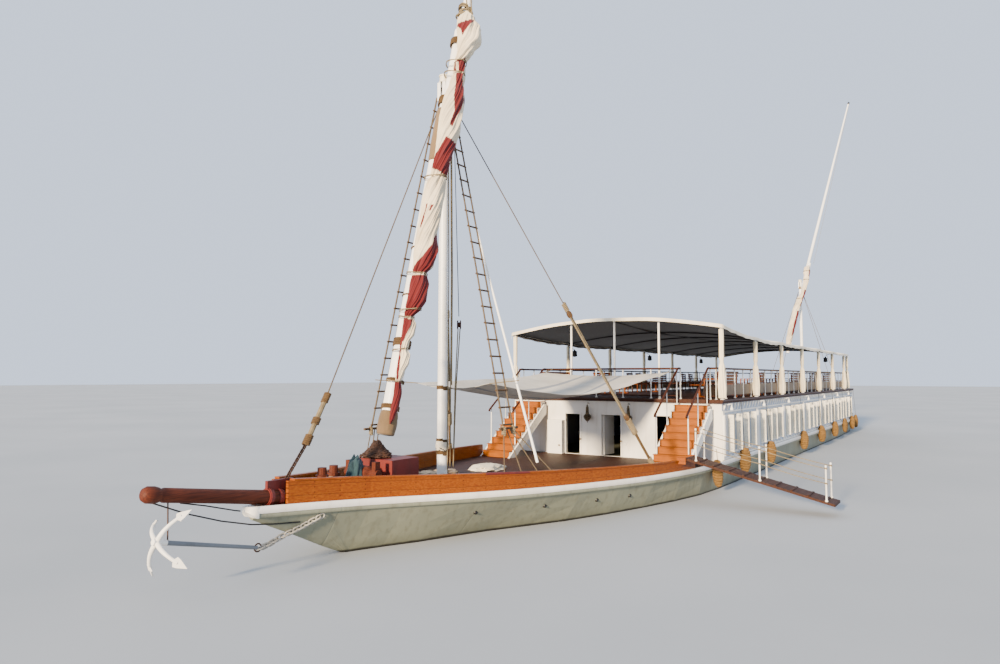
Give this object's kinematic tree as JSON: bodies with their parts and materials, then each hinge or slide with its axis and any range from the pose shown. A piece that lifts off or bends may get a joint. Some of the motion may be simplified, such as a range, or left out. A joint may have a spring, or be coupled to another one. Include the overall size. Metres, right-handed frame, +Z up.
{
  "type": "1:2 scale model of a dahabiya sailing houseboat",
  "caption": "Shallow river houseboat with a windowed deckhouse, awning deck, tall lateen yards with furled sails, rudder, bowsprit and gangway.",
  "frame": {"origin": "amidships on the centreline at the waterline", "axes": "+X forward to the bow, +Y to port, +Z up"},
  "size_m": [26.8833, 5.86, 14.6285],
  "materials": {
    "hull_paint": "satin",
    "white_paint": "satin",
    "varnish": "varnished",
    "deck_paint": "matte",
    "dark_wood": "satin",
    "rust_wood": "matte",
    "spar_paint": "painted",
    "red_iron": "painted",
    "bronze": "aged",
    "rope": "matte",
    "canvas": "matte",
    "sailcloth": "matte"
  },
  "bodies": {
    "hull": {"hull": "hull_paint", "rub_strake": "white_paint", "foredeck": "deck_paint", "poop_deck": "deck_paint", "bulwark": "varnish", "stern_bulwark": "white_paint", "bowsprit": "rust_wood", "stay_iron": "red_iron", "anchor": "white_paint", "bitt_fore": "rust_wood", "bitt_aft": "rust_wood", "deck_hatch": "red_iron", "windlass": "rust_wood", "house_front": "white_paint", "house_port": "white_paint", "house_starboard": "white_paint", "house_stern": "white_paint", "locker": "white_paint", "upper_deck": "deck_paint", "stair_port": "varnish", "stair_starboard": "varnish", "rail_front": "dark_wood", "rail_port": "dark_wood", "rail_starboard": "dark_wood", "rail_stern": "dark_wood", "awning_frame_port": "white_paint", "awning_frame_starboard": "white_paint", "awning": "canvas", "foredeck_shade": "canvas", "wall_lantern_port": "bronze", "wall_lantern_starboard": "bronze", "main_mast": "spar_paint", "main_sling": "rope", "mizzen_mast": "spar_paint", "mizzen_sling": "rope", "shrouds_port": "rope", "shrouds_starboard": "rope", "forestay": "rope", "backstay_port": "rope", "backstay_starboard": "rope", "mizzen_stays_port": "rope", "mizzen_stays_starboard": "rope"},
    "rudder": {"rudder": "white_paint", "tiller": "varnish"},
    "main_yard": {"main_yard": "spar_paint", "main_sail": "sailcloth"},
    "mizzen_yard": {"mizzen_yard": "spar_paint", "mizzen_sail": "sailcloth"},
    "door_starboard": {"door_starboard": "white_paint"},
    "door_centre": {"door_centre": "white_paint"},
    "gangway": {"gangway": "deck_paint"}
  },
  "joints": [
    {"name": "rudder_turn", "type": "hinge", "parent": "hull", "child": "rudder", "pos_m": [-12.4, 0, 0], "axis": [0, 0, 1], "range_deg": [-35, 35]},
    {"name": "main_yard_peak", "type": "hinge", "parent": "hull", "child": "main_yard", "pos_m": [10.325, 0.16, 4.91], "axis": [0, -1, 0], "range_deg": [-2, 28]},
    {"name": "mizzen_yard_peak", "type": "hinge", "parent": "hull", "child": "mizzen_yard", "pos_m": [-11.055, 0.14, 5.1], "axis": [-0.587, -0.8096, 0], "range_deg": [-3, 25]},
    {"name": "door_starboard_swing", "type": "hinge", "parent": "hull", "child": "door_starboard", "pos_m": [5.44, -0.575, 0.7], "axis": [0, 0, 1], "range_deg": [0, 115]},
    {"name": "door_centre_swing", "type": "hinge", "parent": "hull", "child": "door_centre", "pos_m": [5.44, -0.145, 0.7], "axis": [0, 0, 1], "range_deg": [-86, 0]},
    {"name": "gangway_lift", "type": "hinge", "parent": "hull", "child": "gangway", "pos_m": [6.95, 1.93, 0.61], "axis": [1, 0, 0], "range_deg": [-4, 75]}
  ]
}
